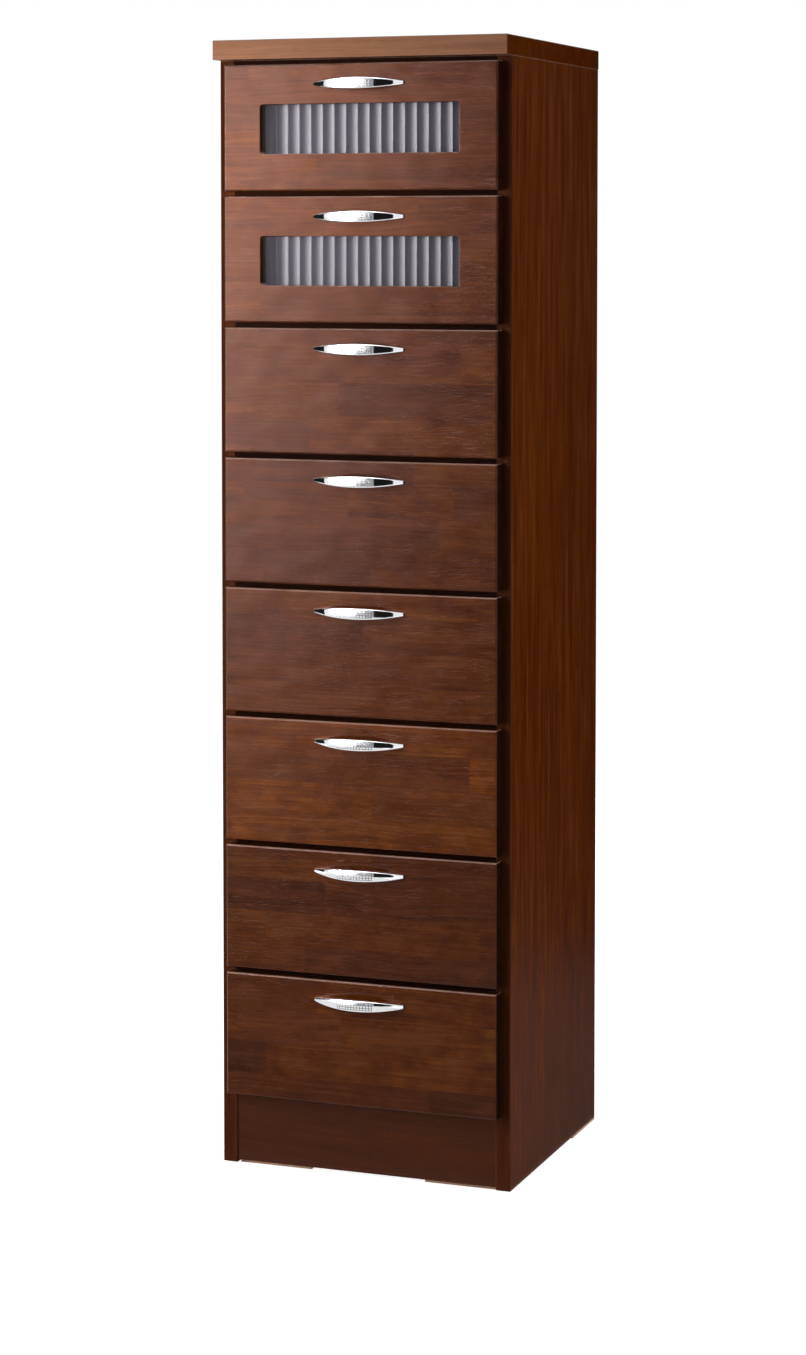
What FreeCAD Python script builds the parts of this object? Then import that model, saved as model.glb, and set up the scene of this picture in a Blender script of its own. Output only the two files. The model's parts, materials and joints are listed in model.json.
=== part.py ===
import FreeCAD, Part
import math
import os
import re

import Sketcher

# A tall, narrow chest of eight drawers in solid wood; the upper two have reeded window panes.
# X runs to the right, the drawers face -Y and Z is up. The origin is on the floor, at the middle
# of the chest's outline with its handles. All sizes are millimetres.

DRAWERS = 8
WINDOW_DRAWERS = (1, 2)

SIZES = {
    # Case outline and boards
    "width": 400,
    "depth": 390,
    "height": 1470,
    "top_thickness": 25,
    "top_side_overhang": 1,
    "top_front_overhang": 23,
    "top_edge_radius": 1.5,
    "side_thickness": 20,
    "side_lift": 3,
    "side_edge_radius": 1.5,
    "back_thickness": 4,
    "back_inset": 8,
    "back_groove": 8,
    "plinth_thickness": 18,
    "plinth_recess": 2,
    "base_thickness": 12,
    "foot_thickness": 6,
    "foot_length": 100,
    "foot_blunt": 30,
    "foot_recess": 10,
    "glide_length": 100,
    # Rails, runners and their joints
    "rail_thickness": 20,
    "rail_depth": 40,
    "rail_recess": 1,
    "tenon_length": 10,
    "tenon_shoulder": 4,
    "tenon_end_shoulder": 12,
    "runner_width": 24,
    "runner_housing": 6,
    "runner_rear_gap": 6,
    "joint_clearance": 0.2,
    "top_screw_offset": 120,
    "top_screw_radius": 2.2,
    "top_screw_head_radius": 4.4,
    "top_screw_head_depth": 2.4,
    "top_screw_bite": 12,
    # Drawer fronts
    "top_gap": 7,
    "drawer_gap": 6.8,
    "base_height": 98.4,
    "edge_reveal": 13,
    "front_thickness": 18,
    "front_gap": 0.5,
    "front_edge_radius": 2.5,
    # Drawer boxes
    "box_side_play": 2,
    "running_clearance": 0.3,
    "box_rear_clearance": 8,
    "box_side_thickness": 12,
    "box_side_drop": 27,
    "box_edge_radius": 2,
    "front_housing": 8,
    "box_back_thickness": 12,
    "box_back_inset": 10,
    "box_back_housing": 5,
    "bottom_thickness": 4,
    "bottom_lift": 9,
    "bottom_groove": 6,
    # Windows and panes
    "window_stile": 50.5,
    "window_height": 63,
    "window_drop": 51,
    "window_radius": 4,
    "window_edge_radius": 0.8,
    "pane_thickness": 5,
    "pane_side_lap": 14,
    "pane_lap": 9,
    "flute_pitch": 16,
    "flute_land": 0.6,
    "flute_depth": 1.1,
    "pane_screw_inset": 6,
    "pane_screw_radius": 1.5,
    "pane_screw_head_radius": 3,
    "pane_screw_head_height": 1.8,
    "pane_screw_bite": 9,
    # Handles
    "handle_length": 122,
    "handle_height": 15,
    "handle_tip_height": 5.2,
    "handle_projection": 20,
    "handle_tip_thickness": 2.6,
    "handle_thickness": 5.5,
    "handle_foot": 18,
    "handle_crown_radius": 29,
    "handle_drop": 26,
    "handle_edge_radius": 2.2,
    "handle_screw_inset": 13,
    "handle_screw_radius": 2,
    "handle_screw_head_radius": 4,
    "handle_screw_head_height": 2.4,
    "handle_screw_bite": 5.5,
    "screw_clearance": 0.1,
}

# Measures that follow from the sizes above
DERIVED = {
    "inner_width": "width - 2 * top_side_overhang - 2 * side_thickness",
    "side_depth": "depth - top_front_overhang",
    "front_width": "width - 2 * top_side_overhang - 2 * edge_reveal",
    "top_underside": "height - top_thickness",
    "rear_plane": "(side_depth + front_gap + front_thickness + handle_projection) / 2",
    "side_front": "rear_plane - side_depth",
    "panel_front": "rear_plane - back_inset - back_thickness",
    "front_rear": "side_front - front_gap",
    "front_face": "front_rear - front_thickness",
    "rail_front": "side_front + rail_recess",
    "plinth_front": "side_front + plinth_recess",
    "plinth_rear": "plinth_front + plinth_thickness",
    "front_stack": f"top_underside - top_gap - base_height - {DRAWERS - 1} * drawer_gap",
    "front_height": f"front_stack / {DRAWERS}",
    "drawer_pitch": "front_height + drawer_gap",
    "rail_overlap": "(rail_thickness - drawer_gap) / 2",
    "lowest_rail_top": "base_height + rail_overlap",
    "base_top": "lowest_rail_top - rail_thickness",
    "runner_front": "rail_front + rail_depth",
    "runner_length": "panel_front - runner_rear_gap - runner_front",
    "top_screw_length": "rail_thickness + top_screw_bite",
    "box_width": "inner_width - 2 * box_side_play",
    "box_inner": "box_width - 2 * box_side_thickness",
    "box_length": "panel_front - box_rear_clearance - front_rear",
    "box_low": "rail_overlap + running_clearance",
    "box_top": "front_height - box_side_drop",
    "bottom_low": "box_low + bottom_lift",
    "bottom_top": "bottom_low + bottom_thickness",
    "back_rear": "box_length - box_back_inset",
    "window_width": "front_width - 2 * window_stile",
    "window_low": "front_height - window_drop - window_height",
    "pane_width": "window_width + 2 * pane_side_lap",
    "pane_height": "window_height + 2 * pane_lap",
    "pane_low": "window_low - pane_lap",
    "pane_screw_x": "pane_width / 2 - pane_screw_inset",
    "pane_screw_low": "pane_low + pane_screw_inset",
    "pane_screw_high": "pane_low + pane_height - pane_screw_inset",
    "handle_level": "front_height - handle_drop",
    "handle_span": "handle_length - 2 * handle_foot",
    "handle_screw_x": "handle_length / 2 - handle_screw_inset",
    "bow_rise": "handle_projection - handle_tip_thickness",
    "bow_radius": "handle_length * handle_length / (8 * bow_rise) + bow_rise / 2",
    "crown_rise": "handle_crown_radius - sqrt(handle_crown_radius ^ 2 - handle_height ^ 2)",
}

doc = FreeCAD.newDocument("chest_of_drawers")
sheet = doc.addObject("Spreadsheet::Sheet", "sizes")
for row, (alias, number) in enumerate(SIZES.items(), 1):
    sheet.set(f"A{row}", alias)
    sheet.set(f"B{row}", str(number))
    sheet.setAlias(f"B{row}", alias)
doc.recompute()


def formula(text):
    """Spells out derived measures and points every size at its cell in the sheet."""

    def spell(match):
        word = match.group()
        if word in DERIVED:
            return "(" + formula(DERIVED[word]) + ")"
        return "sizes." + word if word in SIZES else word

    return re.sub(r"[a-z_]+", spell, text)


def value(text):
    """Works a formula out to a number."""
    return float(sheet.evalExpression(formula(text)))


def bind(item, prop, text):
    """Ties a property to a formula on the sheet's sizes."""
    item.setExpression(prop, formula(text))


def place(item, x="0", y="0", z="0"):
    """Ties an object's place to formulas."""
    for axis, text in zip("xyz", (x, y, z)):
        bind(item, "Placement.Base." + axis, text)
    return item


def board(name, x, y, z, length, width, height):
    """A plain square-edged board: its lowest corner, then its sizes along X, Y and Z."""
    item = place(doc.addObject("Part::Box", name), x, y, z)
    for prop, text in zip(("Length", "Width", "Height"), (length, width, height)):
        bind(item, prop, text)
    return item


def join(kind, name, base, tool):
    """Makes one solid of two: kind is Fuse or Cut."""
    item = doc.addObject("Part::" + kind, name)
    item.Base = base
    item.Tool = tool
    return item


def group(name, items):
    """Holds several separate solids as one object."""
    item = doc.addObject("Part::Compound", name)
    item.Links = items
    return item


def copy_of(name, source, x="0", y="0", z="0", turn=None):
    """A linked copy of a piece at another place."""
    item = doc.addObject("App::Link", name)
    item.LinkedObject = source
    item.LinkTransform = True
    if turn:
        item.Placement = FreeCAD.Placement(FreeCAD.Vector(), FreeCAD.Rotation(*turn))
    return place(item, x, y, z)


def mirrored(name, source, normal, x="0", y="0", z="0"):
    """The other hand of a piece that stands at the origin, set in its own place."""
    item = doc.addObject("Part::Mirroring", name)
    item.Source = source
    item.Normal = normal
    return place(item, x, y, z)


def sketch_on(body, name, role):
    """A sketch on one of the body's own origin planes."""
    sketch = body.newObject("Sketcher::SketchObject", name)
    plane = next(f for f in body.Origin.OriginFeatures if f.Role == role)
    sketch.AttachmentSupport = (plane, "")
    sketch.MapMode = "FlatFace"
    return sketch


def dimension(sketch, kind, *where, size):
    """Adds a dimension and ties it to its formula."""
    index = sketch.addConstraint(Sketcher.Constraint(kind, *where, value(size)))
    bind(sketch, f"Constraints[{index}]", size)


def outline(sketch, points):
    """Draws a closed outline. A third entry is the rise of an arc to the next, level or upright, point."""
    spots = [FreeCAD.Vector(value(p[0]), value(p[1]), 0) for p in points]
    first = sketch.GeometryCount
    count = len(points)
    heads, tails, spans = [], [], []
    for i, point in enumerate(points):
        start, end = spots[i], spots[(i + 1) % count]
        spans.append(1 if abs(end.x - start.x) < 1e-6 else 0)
        if len(point) == 3:
            rise = FreeCAD.Vector()
            rise[1 - spans[i]] = value(point[2])
            index = sketch.addGeometry(Part.Arc(start, (start + end) / 2 + rise, end), False)
        else:
            index = sketch.addGeometry(Part.LineSegment(start, end), False)
        turned = (sketch.getPoint(index, 1) - start).Length > (sketch.getPoint(index, 2) - start).Length
        heads.append(2 if turned else 1)
        tails.append(1 if turned else 2)
    for i, point in enumerate(points):
        after = (i + 1) % count
        joint = Sketcher.Constraint("Coincident", first + i, tails[i], first + after, heads[after])
        sketch.addConstraint(joint)
        dimension(sketch, "DistanceX", -1, 1, first + i, heads[i], size=point[0])
        dimension(sketch, "DistanceY", -1, 1, first + i, heads[i], size=point[1])
        if len(point) == 3:
            chord = f"({points[after][spans[i]]} - ({point[spans[i]]}))"
            radius = f"{chord} * {chord} / (8 * abs({point[2]})) + abs({point[2]}) / 2"
            dimension(sketch, "Radius", first + i, size=radius)


def rectangle(sketch, left, low, wide, high):
    """Draws a rectangle from its lower left corner and its two sizes."""
    right = f"{left} + {wide}"
    top = f"{low} + {high}"
    outline(sketch, [(left, low), (right, low), (right, top), (left, top)])


def circle(sketch, x, y, radius):
    """Draws a circle at a point."""
    centre = FreeCAD.Vector(value(x), value(y), 0)
    index = sketch.addGeometry(Part.Circle(centre, FreeCAD.Vector(0, 0, 1), value(radius)), False)
    dimension(sketch, "DistanceX", -1, 1, index, 3, size=x)
    dimension(sketch, "DistanceY", -1, 1, index, 3, size=y)
    dimension(sketch, "Radius", index, size=radius)


def pad(body, name, sketch, length, symmetric=False):
    """Raises a sketch into a solid along its plane's normal, or to both sides of it."""
    feature = body.newObject("PartDesign::Pad", name)
    feature.Profile = sketch
    feature.SideType = "Symmetric" if symmetric else "One side"
    bind(feature, "Length", length)
    doc.recompute()
    return feature


def pocket(body, name, sketch, depth=None, along_normal=True):
    """Cuts a sketch into the solid to a depth, or right through, and sees that it took wood away."""
    before = body.Shape.Volume
    feature = body.newObject("PartDesign::Pocket", name)
    feature.Profile = sketch
    feature.Reversed = along_normal
    if depth:
        bind(feature, "Length", depth)
    else:
        feature.Type = "ThroughAll"
    doc.recompute()
    if not body.Shape.Volume < before:
        raise RuntimeError(f"{body.Label}: {name} cuts nothing")
    return feature


def repeat(body, name, feature, sketch, axis, length, count):
    """Repeats a feature in a row along a sketch axis."""
    row = body.newObject("PartDesign::LinearPattern", name)
    row.Originals = [feature]
    row.Direction = (sketch, [axis])
    bind(row, "Length", length)
    row.Occurrences = count
    body.Tip = row
    doc.recompute()


def round_edges(body, name, radius, chosen):
    """Rounds those edges of the body's last feature that the test picks."""
    base = body.Tip
    edges = [f"Edge{i}" for i, edge in enumerate(base.Shape.Edges, 1) if chosen(edge)]
    feature = body.newObject("PartDesign::Fillet", name)
    feature.Base = (base, edges)
    bind(feature, "Radius", radius)
    doc.recompute()


def groove(body, name, sketch):
    """Cuts a sketch into the solid all round the sketch's upright axis."""
    before = body.Shape.Volume
    feature = body.newObject("PartDesign::Groove", name)
    feature.Profile = sketch
    feature.ReferenceAxis = (sketch, ["V_Axis"])
    feature.Angle = 360
    doc.recompute()
    if not body.Shape.Volume < before:
        raise RuntimeError(f"{body.Label}: {name} cuts nothing")


def turned(name, points):
    """A turned piece: a half profile spun about Y."""
    body = doc.addObject("PartDesign::Body", name)
    sketch = sketch_on(body, name + "_profile", "XY_Plane")
    outline(sketch, points)
    feature = body.newObject("PartDesign::Revolution", name + "_spin")
    feature.Profile = sketch
    feature.ReferenceAxis = (sketch, ["V_Axis"])
    feature.Angle = 360
    doc.recompute()
    return body


def pan_head_screw(name, radius, head_radius, head_height, length):
    """A round-headed screw along -Y, its head's seat at the origin."""
    chamfer = f"{head_height} / 2"
    return turned(name, [
        ("0", f"-({length})"),
        (radius, f"-({length})"),
        (radius, "0"),
        (head_radius, "0"),
        (head_radius, f"{head_height} - {chamfer}"),
        (f"{head_radius} - {chamfer}", head_height),
        ("0", head_height),
    ])


def countersunk_screw(name, spare):
    """A flat-headed screw along +Y, its head flush at the origin; spare room makes it its own hole."""
    return turned(name, [
        ("0", "0"),
        (f"top_screw_head_radius + {spare}", "0"),
        (f"top_screw_radius + {spare}", "top_screw_head_depth"),
        (f"top_screw_radius + {spare}", f"top_screw_length + {spare}"),
        ("0", f"top_screw_length + {spare}"),
    ])


def drawer_level(number):
    """Height of a drawer front's lower edge; drawer 1 is the uppermost."""
    return f"(base_height + {DRAWERS - number} * drawer_pitch)"


# Tenoned boards: place and size along Y and Z between the side panels, and the tenon's shoulders
TOP_FRONT_RAIL = ("rail_front", "top_underside - rail_thickness")
TOP_REAR_RAIL = ("panel_front - rail_depth", "top_underside - rail_thickness")
RAIL_SECTION = ("rail_depth", "rail_thickness", "tenon_end_shoulder", "tenon_shoulder")
FRONT_PLINTH = (
    "plinth_front", "foot_thickness", "plinth_thickness", "lowest_rail_top - foot_thickness",
    "tenon_shoulder", "tenon_end_shoulder",
)
REAR_PLINTH = (
    "panel_front - plinth_thickness", "foot_thickness", "plinth_thickness",
    "base_top - base_thickness - foot_thickness", "tenon_shoulder", "tenon_end_shoulder",
)
BASE_BOARD = (
    "plinth_rear", "base_top - base_thickness", "panel_front - plinth_rear", "base_thickness",
    "tenon_end_shoulder", "tenon_shoulder",
)


def divider_rail(number):
    """Place of the rail under a drawer."""
    return ("rail_front", f"{drawer_level(number)} + rail_overlap - rail_thickness")


def tenoned_board(name, y, z, deep, tall, y_shoulder, z_shoulder):
    """A board between the side panels with a stub tenon at each end."""
    shoulders = board(name + "_board", "-inner_width / 2", y, z, "inner_width", deep, tall)
    tenons = board(
        name + "_tenons", "-inner_width / 2 - tenon_length", f"{y} + {y_shoulder}", f"{z} + {z_shoulder}",
        "inner_width + 2 * tenon_length", f"{deep} - 2 * {y_shoulder}", f"{tall} - 2 * {z_shoulder}",
    )
    return join("Fuse", name, shoulders, tenons)


def mortise(sketch, y, z, deep, tall, y_shoulder, z_shoulder):
    """Draws a tenon's mortise on a side panel, measured from the panel's lower front corner."""
    rectangle(
        sketch,
        f"{y} + {y_shoulder} - joint_clearance - side_front",
        f"{z} + {z_shoulder} - joint_clearance - side_lift",
        f"({deep} - 2 * {y_shoulder} + 2 * joint_clearance)",
        f"({tall} - 2 * {z_shoulder} + 2 * joint_clearance)",
    )


def make_top_board():
    """The top, with eased edges and holes for its four screws in the underside."""
    body = doc.addObject("PartDesign::Body", "top_board")
    plan = sketch_on(body, "top_plan", "XY_Plane")
    rectangle(plan, "-width / 2", "rear_plane - depth", "width", "depth")
    pad(body, "top_slab", plan, "top_thickness")
    round_edges(body, "top_eased", "top_edge_radius", lambda edge: edge.CenterOfMass.z > 1)
    holes = sketch_on(body, "top_screw_spots", "XY_Plane")
    for x, y in top_screw_spots():
        circle(holes, x, y, "top_screw_radius + screw_clearance")
    pocket(body, "top_screw_holes", holes, "top_screw_bite + 2 * screw_clearance")
    return [place(body, z="top_underside")]


def top_screw_spots():
    """Places of the screws that hold the top to its front and rear rails."""
    rows = [f"{rail[0]} + rail_depth / 2" for rail in (TOP_FRONT_RAIL, TOP_REAR_RAIL)]
    return [(x, y) for y in rows for x in ("-top_screw_offset", "top_screw_offset")]


def make_side_panels():
    """The two side panels, with mortises for the rails, runner housings and the back's groove."""
    body = doc.addObject("PartDesign::Body", "side_panel")
    face = sketch_on(body, "side_outline", "YZ_Plane")
    rectangle(face, "0", "0", "side_depth", "top_underside - side_lift")
    pad(body, "side_slab", face, "side_thickness")
    round_edges(
        body, "side_eased", "side_edge_radius",
        lambda edge: edge.CenterOfMass.y < 1 and edge.Length > value("side_depth"),
    )
    ends = sketch_on(body, "mortise_spots", "YZ_Plane")
    mortise(ends, *TOP_FRONT_RAIL, *RAIL_SECTION)
    mortise(ends, *TOP_REAR_RAIL, *RAIL_SECTION)
    mortise(ends, *FRONT_PLINTH)
    mortise(ends, *REAR_PLINTH)
    mortise(ends, *BASE_BOARD)
    pocket(body, "mortises", ends, "tenon_length + joint_clearance")
    lowest = sketch_on(body, "divider_spot", "YZ_Plane")
    mortise(lowest, *divider_rail(DRAWERS - 1), *RAIL_SECTION)
    divider = pocket(body, "divider_mortise", lowest, "tenon_length + joint_clearance")
    dividers = DRAWERS - 1
    repeat(body, "divider_mortises", divider, lowest, "V_Axis", f"{dividers - 1} * drawer_pitch", dividers)
    strip = sketch_on(body, "runner_spot", "YZ_Plane")
    rectangle(
        strip, "runner_front - side_front - joint_clearance", "base_top - side_lift - joint_clearance",
        "(runner_length + 2 * joint_clearance)", "(rail_thickness + 2 * joint_clearance)",
    )
    housing = pocket(body, "runner_groove", strip, "runner_housing + joint_clearance")
    repeat(body, "runner_grooves", housing, strip, "V_Axis", f"{DRAWERS - 1} * drawer_pitch", DRAWERS)
    slot = sketch_on(body, "back_slot", "YZ_Plane")
    rectangle(
        slot, "panel_front - joint_clearance - side_front", "0",
        "(back_thickness + 2 * joint_clearance)", "top_underside - side_lift",
    )
    pocket(body, "back_groove", slot, "back_groove + joint_clearance")
    right = copy_of("side_panel_right", body, "inner_width / 2", "side_front", "side_lift")
    left = mirrored("side_panel_left", body, (1, 0, 0), "-inner_width / 2", "side_front", "side_lift")
    return [left, right]


def make_back_panel():
    """The thin back, held in the side panels' grooves."""
    return [board(
        "back_panel", "-inner_width / 2 - back_groove", "panel_front", "foot_thickness",
        "inner_width + 2 * back_groove", "back_thickness", "top_underside - foot_thickness",
    )]


def make_base():
    """The plinth boards at the front and back, and the base board between them."""
    front = tenoned_board("plinth_front_board", *FRONT_PLINTH)
    rear = tenoned_board("plinth_rear_board", *REAR_PLINTH)
    return [group("plinth_boards", [front, rear]), tenoned_board("base_board", *BASE_BOARD)]


def make_rails():
    """The rails between the drawers, and the two screwed rails that carry the top."""
    rails = [
        tenoned_board(f"divider_rail_{number}", *divider_rail(number), *RAIL_SECTION)
        for number in range(1, DRAWERS)
    ]
    hole = countersunk_screw("top_screw_hole", "screw_clearance")
    screw = countersunk_screw("top_screw", "0")
    holes, screws = [], []
    level = TOP_FRONT_RAIL[1]
    for number, (x, y) in enumerate(top_screw_spots(), 1):
        holes.append(copy_of(f"top_screw_hole_{number}", hole, x, y, level, turn=(0, 0, 90)))
        screws.append(copy_of(f"top_screw_{number}", screw, x, y, level, turn=(0, 0, 90)))
    half = len(holes) // 2
    for name, spot, drills in (("front", TOP_FRONT_RAIL, holes[:half]), ("rear", TOP_REAR_RAIL, holes[half:])):
        blank = tenoned_board(f"top_{name}_rail_blank", *spot, *RAIL_SECTION)
        rails.append(join("Cut", f"top_{name}_rail", blank, group(f"top_{name}_drills", drills)))
    return [group("cross_rails", rails), group("top_screws", screws)]


def make_runners():
    """The strips that the drawers run on, let into the side panels behind the rails."""
    strip = board("runner", "0", "0", "0", "runner_width", "runner_length", "rail_thickness")
    runners = []
    for number in range(1, DRAWERS + 1):
        level = divider_rail(number)[1]
        for hand, x in (
            ("left", "-inner_width / 2 - runner_housing"),
            ("right", "inner_width / 2 + runner_housing - runner_width"),
        ):
            runners.append(copy_of(f"runner_{number}_{hand}", strip, x, "runner_front", level))
    return [group("drawer_runners", runners)]


def make_feet():
    """Gusset pads under the plinth's corners and glides under the side panels' rear ends."""
    body = doc.addObject("PartDesign::Body", "foot")
    plan = sketch_on(body, "foot_plan", "XY_Plane")
    outline(plan, [
        ("inner_width / 2", "0"),
        ("inner_width / 2", "foot_length"),
        ("inner_width / 2 - foot_blunt", "foot_length"),
        ("inner_width / 2 - foot_length", "foot_blunt"),
        ("inner_width / 2 - foot_length", "0"),
    ])
    pad(body, "foot_plate", plan, "foot_thickness")
    front_pair = group("front_feet", [body, mirrored("foot_left", body, (1, 0, 0))])
    front = copy_of("front_feet_placed", front_pair, y="plinth_front + foot_recess")
    rear = mirrored("rear_feet", front_pair, (0, 1, 0), y="panel_front")
    glide_right = board(
        "glide_right", "inner_width / 2", "rear_plane - glide_length", "0",
        "side_thickness", "glide_length", "side_lift",
    )
    glide_left = mirrored("glide_left", glide_right, (1, 0, 0))
    return [group("corner_feet", [front, rear, glide_right, glide_left])]


def make_front(window):
    """A drawer front with its housings; its lower edge and rear face are at the origin."""
    name = "window_front" if window else "plain_front"
    body = doc.addObject("PartDesign::Body", name)
    face = sketch_on(body, name + "_outline", "XZ_Plane")
    rectangle(face, "-front_width / 2", "0", "front_width", "front_height")
    pad(body, name + "_slab", face, "front_thickness")
    front_y = -value("front_thickness")
    round_edges(
        body, name + "_eased", "front_edge_radius",
        lambda edge: all(abs(vertex.Y - front_y) < 1e-6 for vertex in edge.Vertexes),
    )
    housings = sketch_on(body, name + "_housing_spots", "XZ_Plane")
    for left in ("-box_width / 2 - joint_clearance", "box_inner / 2 - joint_clearance"):
        rectangle(
            housings, left, "box_low - joint_clearance",
            "(box_side_thickness + 2 * joint_clearance)", "(box_top - box_low + 2 * joint_clearance)",
        )
    pocket(body, name + "_housings", housings, "front_housing")
    groove = sketch_on(body, name + "_groove_spot", "XZ_Plane")
    rectangle(
        groove, "-box_inner / 2 - bottom_groove", "bottom_low - joint_clearance",
        "(box_inner + 2 * bottom_groove)", "(bottom_thickness + 2 * joint_clearance)",
    )
    pocket(body, name + "_groove", groove, "front_housing")
    holes = sketch_on(body, name + "_handle_spots", "XZ_Plane")
    for x in ("-handle_screw_x", "handle_screw_x"):
        circle(holes, x, "handle_level", "handle_screw_radius + screw_clearance")
    pocket(body, name + "_handle_holes", holes)
    if window:
        cut_window(body)
    return body


def cut_window(body):
    """Opens a front for its pane, rounds the opening and drills for the pane's screws."""
    opening = sketch_on(body, "window_outline", "XZ_Plane")
    rectangle(opening, "-window_width / 2", "window_low", "window_width", "window_height")
    pocket(body, "window", opening)
    corner_x = value("window_width") / 2
    front_y = -value("front_thickness")
    low, high = value("window_low"), value("window_low + window_height")

    def inside(point):
        return abs(point.x) < corner_x + 1e-6 and low - 1e-6 < point.z < high + 1e-6

    round_edges(
        body, "window_corners", "window_radius",
        lambda edge: abs(edge.BoundBox.YLength - value("front_thickness")) < 1e-6
        and inside(edge.CenterOfMass),
    )
    round_edges(
        body, "window_eased", "window_edge_radius",
        lambda edge: inside(edge.CenterOfMass) and abs(edge.BoundBox.YMax - front_y) < 1e-6,
    )
    holes = sketch_on(body, "pane_screw_spots", "XZ_Plane")
    for x, z in pane_screw_spots():
        circle(holes, x, z, "pane_screw_radius + screw_clearance")
    pocket(body, "pane_screw_holes", holes, "pane_screw_bite + 2 * screw_clearance")


def pane_screw_spots():
    """Places of a pane's four screws, on its plain side margins."""
    return [(x, z) for x in ("-pane_screw_x", "pane_screw_x") for z in ("pane_screw_low", "pane_screw_high")]


def make_pane():
    """A reeded pane: a plate with a row of shallow upright flutes in its front face."""
    body = doc.addObject("PartDesign::Body", "reeded_pane")
    plan = sketch_on(body, "pane_plan", "XY_Plane")
    rectangle(plan, "-pane_width / 2", "0", "pane_width", "pane_thickness")
    pad(body, "pane_plate", plan, "pane_height")
    flutes = math.ceil(value("window_width / flute_pitch"))
    first = f"-{flutes} * flute_pitch / 2 + flute_land / 2"
    section = sketch_on(body, "flute_section", "XY_Plane")
    outline(section, [(f"{first} + flute_pitch - flute_land", "0", "flute_depth"), (first, "0")])
    flute = pocket(body, "flute", section)
    repeat(body, "flutes", flute, section, "H_Axis", f"{flutes - 1} * flute_pitch", flutes)
    holes = sketch_on(body, "pane_hole_spots", "XZ_Plane")
    for x, z in pane_screw_spots():
        circle(holes, x, f"{z} - pane_low", "pane_screw_radius + 2 * screw_clearance")
    pocket(body, "pane_holes", holes, along_normal=False)
    return body


def make_box_sides():
    """A drawer's two sides, housed in its front, grooved for its bottom and housed for its back."""
    body = doc.addObject("PartDesign::Body", "box_side")
    face = sketch_on(body, "box_side_outline", "YZ_Plane")
    start = "-(front_housing - joint_clearance)"
    rectangle(face, start, "box_low", "front_housing - joint_clearance + box_length", "box_top - box_low")
    pad(body, "box_side_slab", face, "box_side_thickness")
    top = value("box_top")
    round_edges(
        body, "box_side_eased", "box_edge_radius",
        lambda edge: edge.CenterOfMass.z > top - 1e-6 and edge.Length > value("box_length"),
    )
    slot = sketch_on(body, "bottom_slot", "YZ_Plane")
    rectangle(
        slot, start, "bottom_low - joint_clearance",
        "front_housing - joint_clearance + box_length", "bottom_thickness + 2 * joint_clearance",
    )
    pocket(body, "bottom_groove", slot, "bottom_groove")
    upright = sketch_on(body, "back_housing_spot", "YZ_Plane")
    rectangle(
        upright, "back_rear - box_back_thickness - joint_clearance", "bottom_top",
        "box_back_thickness + 2 * joint_clearance", "box_top - bottom_top",
    )
    pocket(body, "back_housing", upright, "box_back_housing")
    right = copy_of("box_side_right", body, "box_inner / 2")
    left = mirrored("box_side_left", body, (1, 0, 0), "-box_inner / 2")
    return group("box_sides", [left, right])


def make_box_back():
    """A drawer's back, which stands on the bottom between the sides."""
    reach = "box_inner / 2 + box_back_housing - joint_clearance"
    return board(
        "box_back", f"-({reach})", "back_rear - box_back_thickness", "bottom_top + joint_clearance",
        f"2 * ({reach})", "box_back_thickness", "box_top - bottom_top - joint_clearance",
    )


def make_box_bottom():
    """A drawer's thin bottom, in the grooves of its sides and front."""
    reach = "box_inner / 2 + bottom_groove - joint_clearance"
    start = "front_housing - joint_clearance"
    return board(
        "box_bottom", f"-({reach})", f"-({start})", "bottom_low",
        f"2 * ({reach})", f"box_length + {start}", "bottom_thickness",
    )


def make_handle():
    """A bow pull: an arched bar with a crowned face, a blunt leaf seen from the front."""
    body = doc.addObject("PartDesign::Body", "handle")
    bow = sketch_on(body, "handle_bow", "XY_Plane")
    outline(bow, [
        ("-handle_length / 2", "0"),
        ("-handle_length / 2", "-handle_tip_thickness", "handle_tip_thickness - handle_projection"),
        ("handle_length / 2", "-handle_tip_thickness"),
        ("handle_length / 2", "0"),
        ("handle_span / 2", "0", "handle_thickness - handle_projection"),
        ("-handle_span / 2", "0"),
    ])
    pad(body, "handle_arch", bow, "handle_height", symmetric=True)
    section = sketch_on(body, "handle_crown_section", "YZ_Plane")
    bind(section, "AttachmentOffset.Base.x", "bow_radius - handle_projection")
    outline(section, [
        ("bow_radius - crown_rise", "-handle_height", "crown_rise"),
        ("bow_radius - crown_rise", "handle_height"),
        ("bow_radius + handle_tip_thickness", "handle_height"),
        ("bow_radius + handle_tip_thickness", "-handle_height"),
    ])
    groove(body, "handle_crown", section)
    leaf = sketch_on(body, "handle_leaf", "XZ_Plane")
    swell = "(handle_height - handle_tip_height) / 2"
    for sign in ("", "-"):
        edge = f"{sign}handle_tip_height / 2"
        far = f"{sign}handle_height"
        outline(leaf, [
            ("-handle_length / 2", edge, f"{sign}{swell}"),
            ("handle_length / 2", edge),
            ("handle_length / 2", far),
            ("-handle_length / 2", far),
        ])
    pocket(body, "handle_taper", leaf)
    # The long edges of the face come in halves, well in front of the hollow's
    half, hollow = value("handle_length / 2"), value("-0.58 * handle_projection")
    round_edges(
        body, "handle_eased", "handle_edge_radius",
        lambda edge: edge.Length > half and edge.CenterOfMass.y < hollow,
    )
    holes = sketch_on(body, "handle_screw_spots", "XZ_Plane")
    for x in ("-handle_screw_x", "handle_screw_x"):
        circle(holes, x, "0", "handle_screw_radius + screw_clearance")
    pocket(body, "handle_screw_holes", holes, "handle_screw_bite + 2 * screw_clearance")
    return body


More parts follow.
